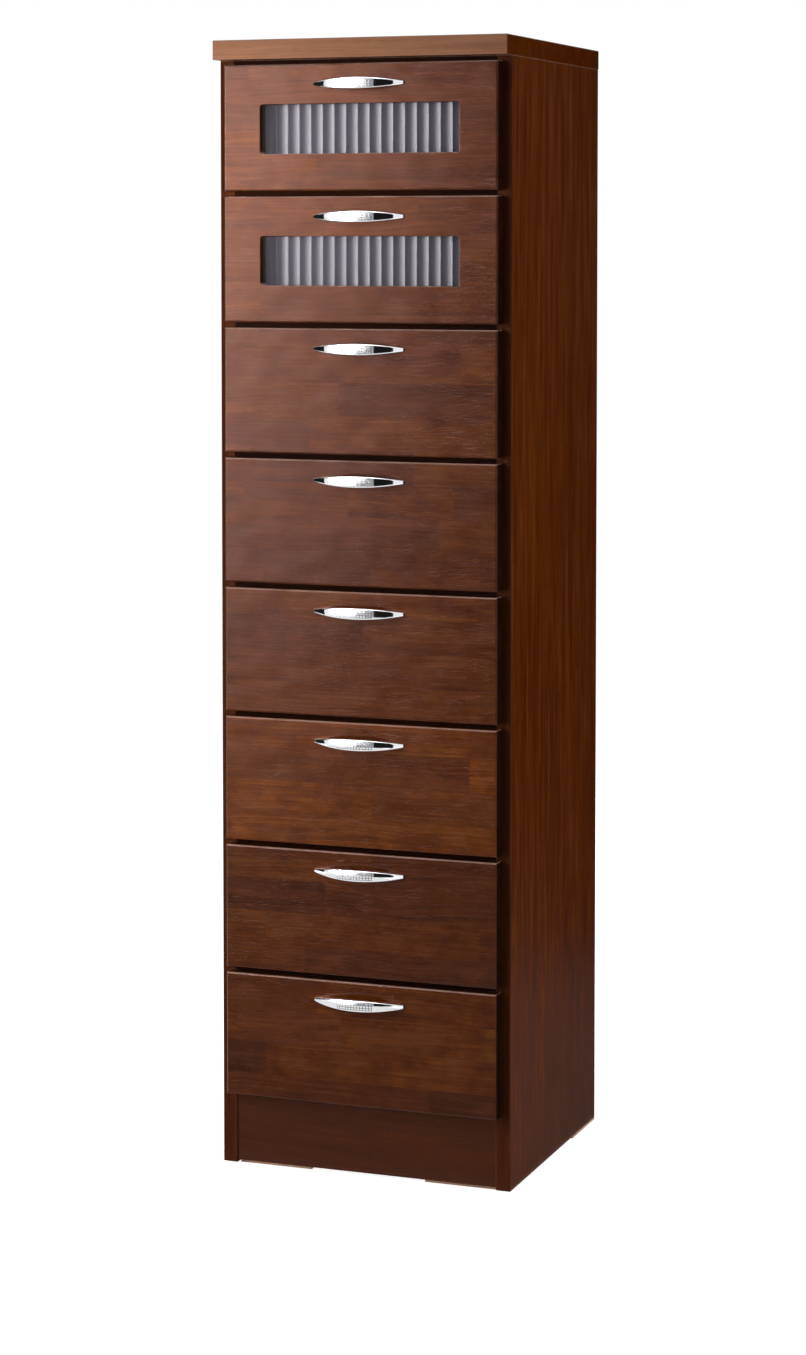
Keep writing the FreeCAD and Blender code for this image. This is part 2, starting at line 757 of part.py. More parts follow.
def make_drawer_screws():
    """The screws of a plain drawer and of a window drawer."""
    handle_screw = pan_head_screw(
        "handle_screw", "handle_screw_radius", "handle_screw_head_radius", "handle_screw_head_height",
        "front_thickness + handle_screw_bite",
    )
    pane_screw = pan_head_screw(
        "pane_screw", "pane_screw_radius", "pane_screw_head_radius", "pane_screw_head_height",
        "pane_thickness + pane_screw_bite",
    )
    pair = [
        copy_of(f"handle_screw_{hand}", handle_screw, x, "0", "handle_level")
        for hand, x in (("left", "-handle_screw_x"), ("right", "handle_screw_x"))
    ]
    four = [
        copy_of(f"pane_screw_{number}", pane_screw, x, "pane_thickness", z)
        for number, (x, z) in enumerate(pane_screw_spots(), 1)
    ]
    return group("plain_screws", pair), group("window_screws", pair + four)


def make_drawers():
    """All the drawers: each piece is made once and copied to its drawer."""
    plain_screws, window_screws = make_drawer_screws()
    plain_front, window_front = make_front(False), make_front(True)
    sides, back, bottom = make_box_sides(), make_box_back(), make_box_bottom()
    handle, pane = make_handle(), make_pane()
    nodes = []
    for number in range(1, DRAWERS + 1):
        window = number in WINDOW_DRAWERS
        level = drawer_level(number)
        pieces = {
            "front": window_front if window else plain_front,
            "sides": sides,
            "back": back,
            "bottom": bottom,
            "screws": window_screws if window else plain_screws,
        }
        for piece, source in pieces.items():
            nodes.append(copy_of(f"drawer_{number}_{piece}", source, "0", "front_rear", level))
        if window:
            nodes.append(copy_of(f"drawer_{number}_pane", pane, "0", "front_rear", f"{level} + pane_low"))
        nodes.append(copy_of(f"drawer_{number}_handle", handle, "0", "front_face", f"{level} + handle_level"))
    return nodes


def write(nodes):
    """Checks every object, then writes each node to its own file."""
    doc.recompute()
    for item in doc.Objects:
        if "Invalid" in item.State or "Error" in item.State:
            raise RuntimeError(f"{item.Label} is {item.State}")
    for node in nodes:
        if node.Shape.isNull() or not node.Shape.isValid():
            raise RuntimeError(f"{node.Label} has no sound shape")
    os.makedirs("parts", exist_ok=True)
    for node in nodes:
        node.Shape.exportStep(f"parts/{node.Label}.step")


nodes = make_top_board() + make_side_panels() + make_back_panel() + make_base() + make_rails()
nodes += make_runners() + make_feet() + make_drawers()
write(nodes)
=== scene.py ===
import json
import math

import bmesh
import bpy
from bpy.props import FloatProperty, FloatVectorProperty, IntProperty, PointerProperty
from mathutils import Matrix, Vector

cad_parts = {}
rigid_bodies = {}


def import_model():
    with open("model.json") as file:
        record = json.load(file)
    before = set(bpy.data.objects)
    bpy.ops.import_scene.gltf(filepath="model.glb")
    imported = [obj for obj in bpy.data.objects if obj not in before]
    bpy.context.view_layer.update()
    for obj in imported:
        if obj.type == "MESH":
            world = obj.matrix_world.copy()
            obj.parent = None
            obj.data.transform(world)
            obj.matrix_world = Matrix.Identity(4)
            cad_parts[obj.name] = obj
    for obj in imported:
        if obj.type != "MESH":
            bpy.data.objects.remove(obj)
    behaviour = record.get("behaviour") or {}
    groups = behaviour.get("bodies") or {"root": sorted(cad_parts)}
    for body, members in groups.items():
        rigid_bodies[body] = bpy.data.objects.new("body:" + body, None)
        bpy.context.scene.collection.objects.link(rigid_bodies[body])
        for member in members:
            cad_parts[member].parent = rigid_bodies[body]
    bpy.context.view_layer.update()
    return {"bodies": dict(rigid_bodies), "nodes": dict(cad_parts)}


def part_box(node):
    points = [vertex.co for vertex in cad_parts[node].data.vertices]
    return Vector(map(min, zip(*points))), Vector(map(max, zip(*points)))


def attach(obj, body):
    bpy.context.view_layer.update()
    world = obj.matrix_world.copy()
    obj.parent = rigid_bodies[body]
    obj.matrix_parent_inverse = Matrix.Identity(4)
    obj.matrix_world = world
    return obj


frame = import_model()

bl_info = {
    "name": "Chest of drawers finish",
    "version": (1, 0, 0),
    "blender": (4, 5, 0),
    "location": "3D View > Sidebar > Chest",
    "description": "Stained wood, chrome pulls, reeded panes and a studio for the eight-drawer chest",
    "category": "Object",
}

# The frame's nodes and drawers straight after loading, before anything is added
NODES = frame["nodes"]
DRAWERS = sorted(int(body.split("_")[1]) for body in frame["bodies"] if body.startswith("drawer_"))
WINDOW_DRAWERS = [number for number in DRAWERS if f"drawer_{number}_pane" in NODES]


def colour_setting(name, description, default):
    """A colour that a user may change."""
    return FloatVectorProperty(
        name=name, description=description, subtype="COLOR", size=3, min=0, max=1, default=default,
    )


def length_setting(name, description, default):
    """A length in metres that a user may change."""
    return FloatProperty(name=name, description=description, unit="LENGTH", precision=4, default=default)


def glow_setting(name, description, default):
    """A brightness that a user may change."""
    return FloatProperty(name=name, description=description, min=0, default=default)


class ChestWoodSettings(bpy.types.PropertyGroup):
    """Colours and sizes of the woods."""

    front_dark: colour_setting("Front dark", "Darkest grain of the drawer fronts", (0.034, 0.0068, 0.0007))
    front_mid: colour_setting("Front middle", "Middle tone of the drawer fronts", (0.065, 0.0148, 0.0008))
    front_light: colour_setting("Front light", "Lightest grain of the drawer fronts", (0.12, 0.033, 0.004))
    front_cool: colour_setting("Front cool", "Tone of the cooler staves", (0.042, 0.0106, 0.0026))
    panel_dark: colour_setting("Panel dark", "Darkest grain of the side panels", (0.042, 0.0069, 0.0004))
    panel_mid: colour_setting("Panel middle", "Middle tone of the side panels", (0.067, 0.0126, 0.0008))
    panel_light: colour_setting("Panel light", "Lightest grain of the side panels", (0.12, 0.027, 0.0026))
    # The top's tones are lighter than the panels': part of the varnish's sheen is painted into them.
    top_dark: colour_setting("Top dark", "Darkest grain of the top", (0.11, 0.038, 0.013))
    top_mid: colour_setting("Top middle", "Middle tone of the top", (0.165, 0.063, 0.022))
    top_light: colour_setting("Top light", "Lightest grain of the top", (0.225, 0.09, 0.032))
    # The top's edge tones, lighter and greyer still, are painted sheen on the top's front and back edges.
    top_edge_sheen_dark: colour_setting("Edge dark", "Darkest grain of the top's edges", (0.138, 0.058, 0.031))
    top_edge_sheen_mid: colour_setting("Edge middle", "Middle tone of the top's edges", (0.207, 0.095, 0.052))
    top_edge_sheen_light: colour_setting("Edge light", "Lightest grain of the top's edges", (0.282, 0.135, 0.076))
    plinth_mid: colour_setting("Plinth middle", "Middle tone of the plinth", (0.043, 0.0102, 0.0022))
    # The rails' tones are near black: painted shade for the gaps between the drawers, and for the drawer
    # fronts' side ends.
    shaded_rail_dark: colour_setting("Rail dark", "Darkest grain of the rails", (0.006, 0.0016, 0.0006))
    shaded_rail_mid: colour_setting("Rail middle", "Middle tone of the rails", (0.012, 0.003, 0.001))
    shaded_rail_light: colour_setting("Rail light", "Lightest grain of the rails", (0.02, 0.0055, 0.0018))
    # The worn edge colour is partly wear and partly a painted highlight, strongest on edges that face up.
    worn_edge_and_highlight: colour_setting("Worn edge", "Stain where edges have worn thin", (0.3, 0.19, 0.15))
    pale_dark: colour_setting("Pale dark", "Darkest grain of the drawer boxes", (0.3, 0.185, 0.09))
    pale_mid: colour_setting("Pale middle", "Middle tone of the drawer boxes", (0.45, 0.31, 0.17))
    pale_light: colour_setting("Pale light", "Lightest grain of the drawer boxes", (0.56, 0.42, 0.255))
    ply_dark: colour_setting("Ply dark", "Darker plies of the plywood", (0.2, 0.11, 0.055))
    ply_light: colour_setting("Ply light", "Lighter plies of the plywood", (0.47, 0.33, 0.2))
    # The feet's tones are paler than the plywood's: partly the pale plies, partly painted light on feet
    # that sit in the plinth's shade.
    lit_foot_dark: colour_setting("Foot dark", "Darker plies of the feet", (0.62, 0.36, 0.22))
    lit_foot_light: colour_setting("Foot light", "Lighter plies of the feet", (0.9, 0.6, 0.42))
    sheen_tint: colour_setting("Sheen tint", "Tint of the varnish's sheen", (1.0, 0.63, 0.58))
    front_shades: FloatVectorProperty(
        name="Front shades", description="Lightness of each drawer's front, from the top", size=8, min=0,
        default=(0.98, 1.07, 1.02, 0.95, 1.06, 1.44, 0.98, 1.03),
    )
    stave_height: length_setting("Stave height", "Height of one stave of a glued board", 0.043)
    stave_length: length_setting("Stave length", "Usual length of one stave", 0.26)
    finger_length: length_setting("Finger length", "Length of a finger joint's fingers", 0.004)
    finger_pitch: length_setting("Finger pitch", "Height of one finger and its gap", 0.0056)
    glue_line: length_setting("Glue line", "Width of the line between two staves", 0.0005)
    # The band along edges that takes the worn colour and painted highlight.
    wear_and_highlight_width: length_setting("Wear width", "Width of the worn band along an edge", 0.0022)
    ply_thickness: length_setting("Ply thickness", "Thickness of one ply", 0.0015)


class ChestMetalSettings(bpy.types.PropertyGroup):
    """Colours and sizes of the pulls, panes and screws."""

    chrome: colour_setting("Chrome", "Colour of the plated pulls", (0.88, 0.88, 0.9))
    steel: colour_setting("Steel", "Colour of the screws", (0.56, 0.54, 0.5))
    pane: colour_setting("Pane", "Colour of the reeded panes", (0.072, 0.064, 0.079))
    tip_thickness: length_setting("Tip thickness", "Thickness of a pull at its ends", 0.0026)
    crown_radius: length_setting("Crown radius", "Radius of a pull's face from edge to edge", 0.029)
    # The ground is darker than the pads: painted shade in the grooves between them.
    grip_shade: colour_setting("Grip", "Colour of the ground between the grip pads", (0.3, 0.3, 0.31))
    pad_pitch: length_setting("Pad pitch", "Distance between the grip pads along a pull", 0.004)
    pad_row_pitch: length_setting("Pad row pitch", "Distance between the rows of grip pads", 0.0031)
    pad_gap: length_setting("Pad gap", "Width of the groove between two grip pads", 0.0007)
    pad_height: length_setting("Pad height", "How far a grip pad stands proud", 0.00022)
    ground_height: length_setting("Ground height", "How far the pads' ground stands proud", 0.00005)
    ground_depth: length_setting("Ground depth", "Thickness of the pads' ground", 0.0003)
    pad_columns: IntProperty(name="Pad columns", description="Grip pads along a pull", default=12)
    pad_rows: IntProperty(name="Pad rows", description="Rows of grip pads on a pull", default=3)


class ChestStageSettings(bpy.types.PropertyGroup):
    """Camera, lamps and floor."""

    camera_place: FloatVectorProperty(
        name="Camera place", description="Where the camera stands", subtype="TRANSLATION", size=3,
        default=(1.4509, -3.9205, 1.2128),
    )
    camera_pitch: FloatProperty(
        name="Camera pitch", description="Tilt below the horizon", subtype="ANGLE", default=0.05673,
    )
    camera_yaw: FloatProperty(
        name="Camera yaw", description="Turn to the left of straight on", subtype="ANGLE", default=0.35625,
    )
    camera_lens: FloatProperty(name="Lens", description="Focal length in millimetres", default=83.81)
    camera_shift: FloatProperty(name="Shift", description="Upright lens shift", default=-0.19)
    floor_colour: colour_setting("Floor", "Colour of the pale floor", (0.86, 0.86, 0.86))
    ambient: glow_setting("Ambient", "Light from all round", 0.1)
    key_glow: glow_setting("Key", "Brightness of the left soft light", 7.2)
    sheen_glow: glow_setting("Sheen", "Brightness of the card that the varnish mirrors", 23.0)
    top_glow: glow_setting("Top", "Brightness of the overhead soft light", 2.6)
    back_glow: glow_setting("Back", "Brightness of the soft light behind", 3.6)
    side_glow: glow_setting("Side", "Brightness of the right soft light", 3.6)
    pane_glow: glow_setting("Pane", "Brightness of the narrow light on the panes", 1.6)


def settings_of(context):
    """The wood, metal and stage settings of the scene."""
    scene = context.scene
    return scene.chest_wood, scene.chest_metal, scene.chest_stage


def opaque(colour):
    """A colour with full alpha."""
    return (*colour, 1.0)


# Shader building blocks

def add_node(tree, kind, inputs=None, **options):
    """Adds a shader node. Inputs are numbers, colours or the sockets to link from."""
    node = tree.nodes.new("ShaderNode" + kind)
    for name, option in options.items():
        setattr(node, name, option)
    for key, source in (inputs or {}).items():
        connect(tree, source, node.inputs[key])
    return node


def connect(tree, source, socket):
    """Links a socket, or sets it to a number or colour."""
    if isinstance(source, bpy.types.NodeSocket):
        tree.links.new(source, socket)
    else:
        socket.default_value = source


def calculate(tree, operation, *sources):
    """A Math node's result."""
    node = add_node(tree, "Math", operation=operation)
    for source, socket in zip(sources, node.inputs):
        connect(tree, source, socket)
    return node.outputs[0]


def vector_sum(tree, first, second):
    """Two vectors added up."""
    node = add_node(tree, "VectorMath", operation="ADD")
    connect(tree, first, node.inputs[0])
    connect(tree, second, node.inputs[1])
    return node.outputs[0]


def blend_colour(tree, share, first, second):
    """Two colours mixed by a share."""
    node = add_node(tree, "Mix", data_type="RGBA")
    factor, low, high = (socket for socket in node.inputs if socket.enabled)
    for source, socket in ((share, factor), (first, low), (second, high)):
        connect(tree, source, socket)
    return next(socket for socket in node.outputs if socket.enabled)


def spread(tree, source, low, high, new_low=0.0, new_high=1.0):
    """A value mapped smoothly from one range to another and held inside it."""
    node = add_node(tree, "MapRange", {
        "Value": source, "From Min": low, "From Max": high, "To Min": new_low, "To Max": new_high,
    }, interpolation_type="SMOOTHSTEP")
    return node.outputs[0]


def noise(tree, vector, scale, stretch=(1, 1, 1), detail=2.0, roughness=0.5):
    """Noise on a stretched vector."""
    stretched = add_node(tree, "Mapping", {"Vector": vector, "Scale": stretch})
    return add_node(tree, "TexNoise", {
        "Vector": stretched.outputs[0], "Scale": scale, "Detail": detail, "Roughness": roughness,
    }).outputs[0]


# Where the dark, middle and light tones stand in a ramp
DARK_STOP, MIDDLE_STOP, LIGHT_STOP = 0.22, 0.5, 0.78


def three_tones(tree, value, dark, middle, light):
    """A ramp through three colours."""
    ramp = add_node(tree, "ValToRGB", {"Fac": value})
    stops = ramp.color_ramp.elements
    stops[0].position, stops[0].color = DARK_STOP, opaque(dark)
    stops[1].position, stops[1].color = LIGHT_STOP, opaque(light)
    centre = stops.new(MIDDLE_STOP)
    centre.color = opaque(middle)
    return ramp.outputs[0]


def new_group(name, inputs, outputs):
    """An empty node group with named sockets, and its inner ends."""
    group = bpy.data.node_groups.new(name, "ShaderNodeTree")
    for way, sockets in (("INPUT", inputs), ("OUTPUT", outputs)):
        for label, kind in sockets:
            group.interface.new_socket(name=label, in_out=way, socket_type="NodeSocket" + kind)
    entry = group.nodes.new("NodeGroupInput").outputs
    result = group.nodes.new("NodeGroupOutput").inputs
    return group, entry, result


def place_group(tree, name, inputs):
    """Places a node group in a material and gives its outputs."""
    node = tree.nodes.new("ShaderNodeGroup")
    node.node_tree = bpy.data.node_groups[name]
    for key, source in inputs.items():
        connect(tree, source, node.inputs[key])
    return node.outputs


# The shortest stave as a share of the usual one, how far rows start apart, and the figure's jump at a joint
SHORTEST_STAVE = 0.55
ROW_START = 37.0
STAVE_JUMP = (3.0, 3.0, 3.0)


def make_stave_group():
    """Splits a board into staves with finger-jointed ends. X runs along the grain, Z across it."""
    lengths = ("Height", "Length", "Finger Length", "Finger Pitch", "Line")
    group, entry, result = new_group(
        "Glued staves",
        [("Vector", "Vector"), *((length, "Float") for length in lengths)],
        [("Tone", "Float"), ("Hue", "Float"), ("Shift", "Vector"), ("Joint", "Float")],
    )
    place = add_node(group, "SeparateXYZ", {"Vector": entry["Vector"]}).outputs
    level = calculate(group, "DIVIDE", place["Z"], entry["Height"])
    row = calculate(group, "FLOOR", level)
    row_chance = add_node(group, "TexWhiteNoise", {"W": row}, noise_dimensions="1D").outputs["Value"]
    half_pitch = calculate(group, "MULTIPLY", entry["Finger Pitch"], 0.5)
    wave = calculate(group, "DIVIDE", calculate(group, "PINGPONG", place["Z"], half_pitch), half_pitch)
    finger = calculate(group, "MULTIPLY", wave, entry["Finger Length"])
    row_share = calculate(group, "ADD", row_chance, SHORTEST_STAVE)
    row_length = calculate(group, "MULTIPLY", entry["Length"], row_share)
    along = calculate(group, "DIVIDE", calculate(group, "ADD", place["X"], finger), row_length)
    along = calculate(group, "ADD", along, calculate(group, "MULTIPLY", row_chance, ROW_START))
    cell = add_node(group, "CombineXYZ", {"X": row, "Y": calculate(group, "FLOOR", along)}).outputs[0]
    chance = add_node(group, "TexWhiteNoise", {"Vector": cell}, noise_dimensions="2D").outputs
    colour = add_node(group, "SeparateColor", {"Color": chance["Color"]}).outputs
    shift = add_node(group, "VectorMath", {0: chance["Color"], 1: STAVE_JUMP}, operation="MULTIPLY")
    lines = []
    for turn, size in ((level, entry["Height"]), (along, row_length)):
        edge = calculate(group, "PINGPONG", turn, 0.5)
        gap = calculate(group, "MULTIPLY", edge, size)
        lines.append(calculate(group, "SUBTRACT", 1.0, spread(group, gap, 0.0, entry["Line"])))
    group.links.new(chance["Value"], result["Tone"])
    group.links.new(colour[1], result["Hue"])
    group.links.new(shift.outputs[0], result["Shift"])
    group.links.new(calculate(group, "MAXIMUM", *lines), result["Joint"])


# A board's figure: stretch along and across the grain, detail and roughness of each part
FIGURE_PARTS = {
    "Streaks": ((2.2, 60, 60), 5.0, 0.6),
    "Fine": ((9, 420, 420), 2.0, 0.55),
    "Blotch": ((8, 16, 16), 3.0, 0.55),
    "Mottle": ((30, 44, 44), 3.0, 0.6),
}

# The parts that wander from a straight line, how and how far, and the small dashes of the pores
WANDERING_PARTS = ("Streaks", "Fine")
WANDER_STRETCH = (1, 3, 3)
WANDER_REACH = 0.02
PORE_STRETCH = (55, 1500, 1500)
PORE_RANGE = (0.6, 0.72)


def make_figure_group():
    """The figure of a sawn board and its pores. X runs along the grain."""
    group, entry, result = new_group(
        "Wood figure",
        [("Vector", "Vector"), ("Streak Scale", "Float")],
        [(part, "Float") for part in (*FIGURE_PARTS, "Pores")],
    )
    vector = add_node(group, "VectorMath", {0: entry["Vector"]}, operation="SCALE")
    group.links.new(entry["Streak Scale"], vector.inputs["Scale"])
    vector = vector.outputs[0]
    wander = noise(group, vector, 5.0, WANDER_STRETCH, 1.0)
    reach = calculate(group, "MULTIPLY", wander, WANDER_REACH)
    bend = add_node(group, "CombineXYZ", {"Z": reach}).outputs[0]
    bent = vector_sum(group, vector, bend)
    for part, (stretch, detail, roughness) in FIGURE_PARTS.items():
        source = bent if part in WANDERING_PARTS else vector
        group.links.new(noise(group, source, 1.0, stretch, detail, roughness), result[part])
    dashes = noise(group, bent, 1.0, PORE_STRETCH, 1.0)
    group.links.new(spread(group, dashes, *PORE_RANGE), result["Pores"])


# Turn of the softened normal at an edge, size and range of the ragged mask, and the painted highlight that
# is strongest on upward edges
EDGE_TURN = (0.985, 0.85)
RAGGED_SCALE = 22.0
RAGGED_RANGE = (0.1, 0.6)
UPWARD_HIGHLIGHT = (0.05, 0.4, 0.06, 0.9)


def make_wear_and_highlight_group():
    """A ragged mask along a board's edges for wear and a painted highlight, strongest where they face up.
    """
    group, entry, result = new_group(
        "Edge wear and highlight", [("Vector", "Vector"), ("Width", "Float")], [("Wear", "Float")],
    )
    soft = add_node(group, "Bevel", {"Radius": entry["Width"]}, samples=4).outputs[0]
    facing = add_node(group, "SeparateXYZ", {"Vector": soft}).outputs
    steepest = calculate(group, "ABSOLUTE", facing["X"])
    for axis in "YZ":
        steepest = calculate(group, "MAXIMUM", steepest, calculate(group, "ABSOLUTE", facing[axis]))
    edge = spread(group, steepest, *EDGE_TURN)
    ragged = spread(group, noise(group, entry["Vector"], RAGGED_SCALE, detail=3.0), *RAGGED_RANGE)
    # Upward edges get the most: a painted highlight where light falls from above.
    upward = spread(group, facing["Z"], *UPWARD_HIGHLIGHT)
    worn_and_lit = calculate(group, "MULTIPLY", ragged, upward)
    group.links.new(calculate(group, "MULTIPLY", edge, worn_and_lit), result["Wear"])


def make_groups():
    """Builds the shared shader groups once."""
    for name, builder in (
        ("Glued staves", make_stave_group),
        ("Wood figure", make_figure_group),
        ("Edge wear and highlight", make_wear_and_highlight_group),
    ):
        if name not in bpy.data.node_groups:
            builder()


def new_material(name):
    """A material with a Principled shader: its node tree and shader."""
    material = bpy.data.materials.new(name)
    material.use_nodes = True
    shader = next(node for node in material.node_tree.nodes if node.type == "BSDF_PRINCIPLED")
    return material, material.node_tree, shader


def grain_vector(tree, along):
    """Object coordinates turned so that X runs along the grain."""
    place = add_node(tree, "TexCoord").outputs["Object"]
    if along == "X":
        return place
    parts = add_node(tree, "SeparateXYZ", {"Vector": place}).outputs
    order = {"Y": ("Y", "Z", "X"), "Z": ("Z", "X", "Y")}[along]
    inputs = {axis: parts[source] for axis, source in zip("XYZ", order)}
    return add_node(tree, "CombineXYZ", inputs).outputs[0]


# Strength of every fine bump
BUMP_STRENGTH = 0.35


def add_relief(tree, shader, height, depth):
    """Gives a shader a fine bump."""
    bump = add_node(tree, "Bump", {"Strength": BUMP_STRENGTH, "Distance": depth, "Height": height})
    tree.links.new(bump.outputs[0], shader.inputs["Normal"])


def weigh(tree, parts):
    """A sum of values, each times its share."""
    total = 0.0
    for value, share in parts:
        total = calculate(tree, "MULTIPLY_ADD", value, share, total)
    return total


# Shares of streaks, fine grain, blotches and mottle in a board's tone
PLAIN_FIGURE = (0.4, 0.3, 0.2, 0.15)
PANEL_FIGURE = (0.62, 0.34, 0.14, 0.06)
FRONT_FIGURE = (0.22, 0.32, 0.28, 0.46)

# Share of each stave's own tone, and how its hue, mottle and blotches make it cool
STAVE_TONE = 0.09
COOL_SHARES = (0.22, 0.5, 0.6)
COOL_RANGE = (0.52, 0.84)
COOL_STEPS = (0.5, 1.0, 1.8)

# How much glue lines and pores darken the wood
GLUE_LINE_SHADE = 0.18
PORE_SHADE = 0.45
BARE_PORE_SHADE = 0.4

# Faces turned this far count as a board's ends
END_TURN = (0.6, 0.8)

# Stretch of the traces of planing, and depth of the relief in metres
PLANED_STRETCH = (24, 46, 46)
STAINED_DEPTH = 0.0002
BARE_DEPTH = 0.0003

# Shares of fine grain, streaks and pores in the relief
FINE_RELIEF = 0.5
STREAK_RELIEF = 0.4
PORE_RELIEF = -0.8
BARE_FINE_RELIEF = 0.6

# The middle range of a noise, and the smoothest and roughest varnish as shares of its roughness
MIDDLE_RANGE = (0.2, 0.8)
VARNISH_SHARES = (0.85, 1.2)


def stained_wood(
    name, wood, tones, along, cool=None, ends=(), shares=PLAIN_FIGURE,
    streak=1.0, contrast=1.3, rough=0.2, gloss=0.13, waves=2.5,
):
    """Stained wood. Cool tones make a board of staves; ends are pairs of an axis and its faces' tones."""
    material, tree, shader = new_material(name)
    vector = grain_vector(tree, along)
    planed = noise(tree, vector, 1.0, PLANED_STRETCH, 0.0)
    parts = []
    if cool:
        layout = place_group(tree, "Glued staves", {
            "Vector": vector, "Height": wood.stave_height, "Length": wood.stave_length,
            "Finger Length": wood.finger_length, "Finger Pitch": wood.finger_pitch, "Line": wood.glue_line,
        })
        vector = vector_sum(tree, vector, layout["Shift"])
        parts.append((layout["Tone"], STAVE_TONE))
    figure = place_group(tree, "Wood figure", {"Vector": vector, "Streak Scale": streak})
    parts += zip((figure[part] for part in FIGURE_PARTS), shares)
    level = 0.5 - contrast * sum(share for _, share in parts) / 2
    value = calculate(tree, "MULTIPLY_ADD", weigh(tree, parts), contrast, level)
    colour = three_tones(tree, value, *tones)
    if cool:
        tint = weigh(tree, zip((layout["Hue"], figure["Mottle"], figure["Blotch"]), COOL_SHARES))
        cool_share = spread(tree, tint, *COOL_RANGE)
        colour = blend_colour(tree, cool_share, colour, three_tones(tree, value, *cool))
    # Faces turned to an axis take their own tones; the callers use this for painted shade on the fronts'
    # side ends and the panels' front edges, and for painted sheen on the top's front and back edges.
    for axis, end_tones in ends:
        face = add_node(tree, "NewGeometry").outputs["Normal"]
        turned = calculate(tree, "ABSOLUTE", add_node(tree, "SeparateXYZ", {"Vector": face}).outputs[axis])
        end_share = spread(tree, turned, *END_TURN)
        colour = blend_colour(tree, end_share, colour, three_tones(tree, value, *end_tones))
    if cool:
        dark_line = calculate(tree, "MULTIPLY", layout["Joint"], GLUE_LINE_SHADE)
        colour = blend_colour(tree, dark_line, colour, opaque(wood.front_dark))
    pores = calculate(tree, "MULTIPLY", figure["Pores"], PORE_SHADE)
    colour = blend_colour(tree, pores, colour, opaque(tones[0]))
    # Edges take the worn colour: partly wear, partly a painted highlight, strongest on upward edges.
    edge_highlight_and_wear = place_group(tree, "Edge wear and highlight", {
        "Vector": add_node(tree, "TexCoord").outputs["Object"], "Width": wood.wear_and_highlight_width,
    })["Wear"]
    colour = blend_colour(tree, edge_highlight_and_wear, colour, opaque(wood.worn_edge_and_highlight))
    tree.links.new(colour, shader.inputs["Base Color"])
    smoothest, roughest = (rough * share for share in VARNISH_SHARES)
    polish = spread(tree, figure["Streaks"], *MIDDLE_RANGE, smoothest, roughest)
    tree.links.new(polish, shader.inputs["Roughness"])
    shader.inputs["Specular IOR Level"].default_value = gloss
    shader.inputs["Specular Tint"].default_value = opaque(wood.sheen_tint)
    height = weigh(tree, [
        (figure["Fine"], FINE_RELIEF), (figure["Streaks"], STREAK_RELIEF), (planed, waves),
        (figure["Pores"], PORE_RELIEF),
    ])
    add_relief(tree, shader, height, STAINED_DEPTH)
    return material


# Bare wood: scale of its streaks, shares of streaks, fine grain and blotches, roughness and gloss
BARE_STREAK = 0.7
BARE_SHARES = (0.6, 0.2, 0.2)
BARE_ROUGH = (0.5, 0.66)
BARE_GLOSS = 0.3


def plain_wood(name, tones, along):
    """Bare planed wood of the drawer boxes and runners."""
    material, tree, shader = new_material(name)
    vector = grain_vector(tree, along)
    figure = place_group(tree, "Wood figure", {"Vector": vector, "Streak Scale": BARE_STREAK})
    value = weigh(tree, zip((figure["Streaks"], figure["Fine"], figure["Blotch"]), BARE_SHARES))
    colour = three_tones(tree, value, *tones)
    pores = calculate(tree, "MULTIPLY", figure["Pores"], BARE_PORE_SHADE)
    tree.links.new(blend_colour(tree, pores, colour, opaque(tones[0])), shader.inputs["Base Color"])
    polish = spread(tree, figure["Fine"], *MIDDLE_RANGE, *BARE_ROUGH)
    tree.links.new(polish, shader.inputs["Roughness"])
    shader.inputs["Specular IOR Level"].default_value = BARE_GLOSS
    height = weigh(tree, [(figure["Fine"], BARE_FINE_RELIEF), (figure["Pores"], PORE_RELIEF)])
    add_relief(tree, shader, height, BARE_DEPTH)
    return material


# How sharply two plies meet, and how much darker every second one is
PLY_BORDER = (0.4, 0.6)
PLY_SHADE = 0.6

# Plywood: scale of its streaks, shares of streaks and fine grain, roughness and gloss
PLY_STREAK = 1.3
PLY_SHARES = (0.7, 0.3)
PLY_ROUGH = (0.55, 0.75)
PLY_GLOSS = 0.25


def plywood(name, wood, tones, along, layers):
    """Plywood of a dark and a light tone, with its plies stacked along one axis."""
    material, tree, shader = new_material(name)
    vector = grain_vector(tree, along)
    figure = place_group(tree, "Wood figure", {"Vector": vector, "Streak Scale": PLY_STREAK})
    place = add_node(tree, "TexCoord").outputs["Object"]
    depth = add_node(tree, "SeparateXYZ", {"Vector": place}).outputs[layers]
    turn = calculate(tree, "DIVIDE", depth, wood.ply_thickness)
    stripe = spread(tree, calculate(tree, "PINGPONG", turn, 1.0), *PLY_BORDER)
    face = add_node(tree, "NewGeometry").outputs["Normal"]
    flat = calculate(tree, "ABSOLUTE", add_node(tree, "SeparateXYZ", {"Vector": face}).outputs[layers])
    stripe = calculate(tree, "MULTIPLY", stripe, calculate(tree, "LESS_THAN", flat, 0.5))
    value = weigh(tree, zip((figure["Streaks"], figure["Fine"]), PLY_SHARES))
    dark, light = (opaque(tone) for tone in tones)
    tone = blend_colour(tree, value, light, dark)
    colour = blend_colour(tree, calculate(tree, "MULTIPLY", stripe, PLY_SHADE), tone, dark)
    tree.links.new(colour, shader.inputs["Base Color"])
    polish = spread(tree, figure["Fine"], *MIDDLE_RANGE, *PLY_ROUGH)
    tree.links.new(polish, shader.inputs["Roughness"])
    shader.inputs["Specular IOR Level"].default_value = PLY_GLOSS
    add_relief(tree, shader, figure["Fine"], BARE_DEPTH)
    return material


# Sizes of the wiping marks on pulls, pads and screws, and the size and share of the haze over them
PULL_MARKS = (30, 30, 400)
PAD_MARKS = (400, 400, 400)
SCREW_MARKS = (60, 60, 60)
HAZE_SCALE = 45.0
HAZE_SHARE = 0.86

